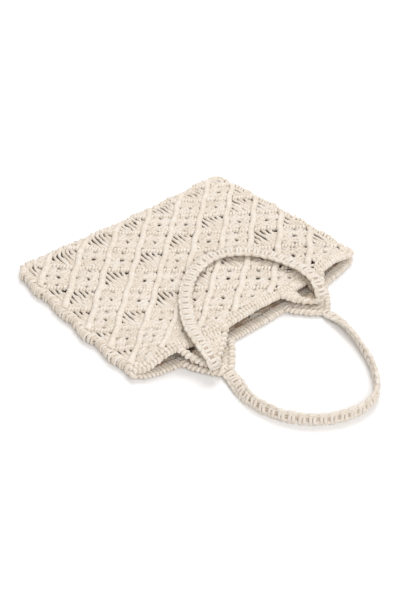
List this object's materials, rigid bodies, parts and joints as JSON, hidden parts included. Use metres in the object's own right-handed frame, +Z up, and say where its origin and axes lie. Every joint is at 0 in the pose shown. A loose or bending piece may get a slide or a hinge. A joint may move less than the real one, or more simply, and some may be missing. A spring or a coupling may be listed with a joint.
{
  "type": "macrame tote bag",
  "caption": "Knotted cotton cord tote bag lying flat, with open diamond net panels, a banded mouth, gathered handle roots and flat sinnet handles.",
  "frame": {"origin": "middle of the bottom of the whole bag's box, on the floor it lies on", "axes": "+X along the mouth to the right, +Y from the handles towards the bag's bottom, +Z up from the floor"},
  "size_m": [0.3802, 0.4816, 0.039],
  "materials": {
    "panel_cord": "natural twisted cotton cord, knotted, matt",
    "edge_cord": "natural twisted cotton cord, laced and hitched, matt",
    "handle_cord": "natural twisted cotton cord, square-knotted sinnet, matt"
  },
  "bodies": {
    "root": {"back_panel": "panel_cord", "front_panel": "panel_cord", "left_seam": "edge_cord", "right_seam": "edge_cord", "bottom_seam": "edge_cord", "back_rim": "edge_cord", "front_rim": "edge_cord", "back_left_root": "handle_cord", "back_right_root": "handle_cord", "front_left_root": "handle_cord", "front_right_root": "handle_cord", "back_handle": "handle_cord", "front_handle": "handle_cord"}
  },
  "joints": []
}
